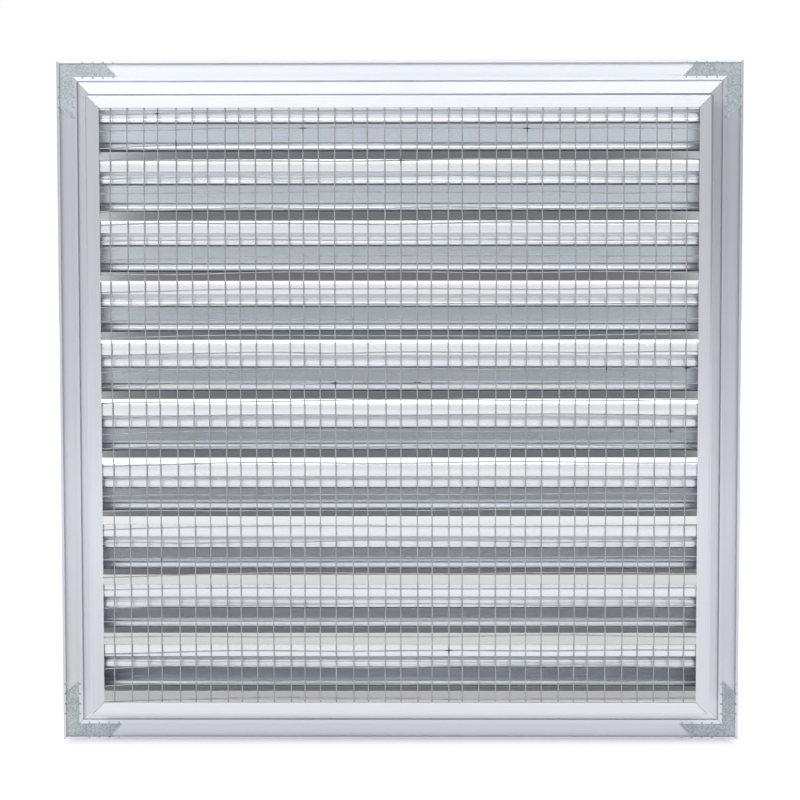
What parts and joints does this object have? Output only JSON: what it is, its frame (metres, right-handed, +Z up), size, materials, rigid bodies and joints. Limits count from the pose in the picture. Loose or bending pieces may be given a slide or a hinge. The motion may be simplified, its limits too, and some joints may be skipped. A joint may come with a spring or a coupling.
{
  "type": "wall vent",
  "caption": "Square aluminium weather louvre: mitred flanged frame with a neck for a wall opening, fixed sloping blades and a welded wire bird mesh at the rear",
  "frame": {"origin": "centre of the opening, in the plane where the flange seats on the wall", "axes": "+Z up; +Y into the wall, along the neck; the outside face looks along -Y; +X to the right seen from outside"},
  "size_m": [0.56, 0.0592, 0.56],
  "materials": {
    "frame_aluminium": "mill-finish extrusion with fine lengthwise die lines",
    "blade_aluminium": "mill-finish extrusion with fine lengthwise die lines",
    "galvanised_plate": "galvanised sheet with a faint spangle and scratches",
    "screw_steel": "bright zinc plating",
    "mesh_wire": "galvanised wire, dull grey with a few dark weld marks"
  },
  "bodies": {
    "root": {"frame_top": "frame_aluminium", "frame_bottom": "frame_aluminium", "frame_left": "frame_aluminium", "frame_right": "frame_aluminium", "corner_key_top_left": "galvanised_plate", "corner_key_top_right": "galvanised_plate", "corner_key_bottom_left": "galvanised_plate", "corner_key_bottom_right": "galvanised_plate", "blade_01": "blade_aluminium", "blade_02": "blade_aluminium", "blade_03": "blade_aluminium", "blade_04": "blade_aluminium", "blade_05": "blade_aluminium", "blade_06": "blade_aluminium", "blade_07": "blade_aluminium", "blade_08": "blade_aluminium", "blade_09": "blade_aluminium", "blade_10": "blade_aluminium", "blade_screws_left": "screw_steel", "blade_screws_right": "screw_steel", "bird_mesh": "mesh_wire"}
  },
  "joints": []
}
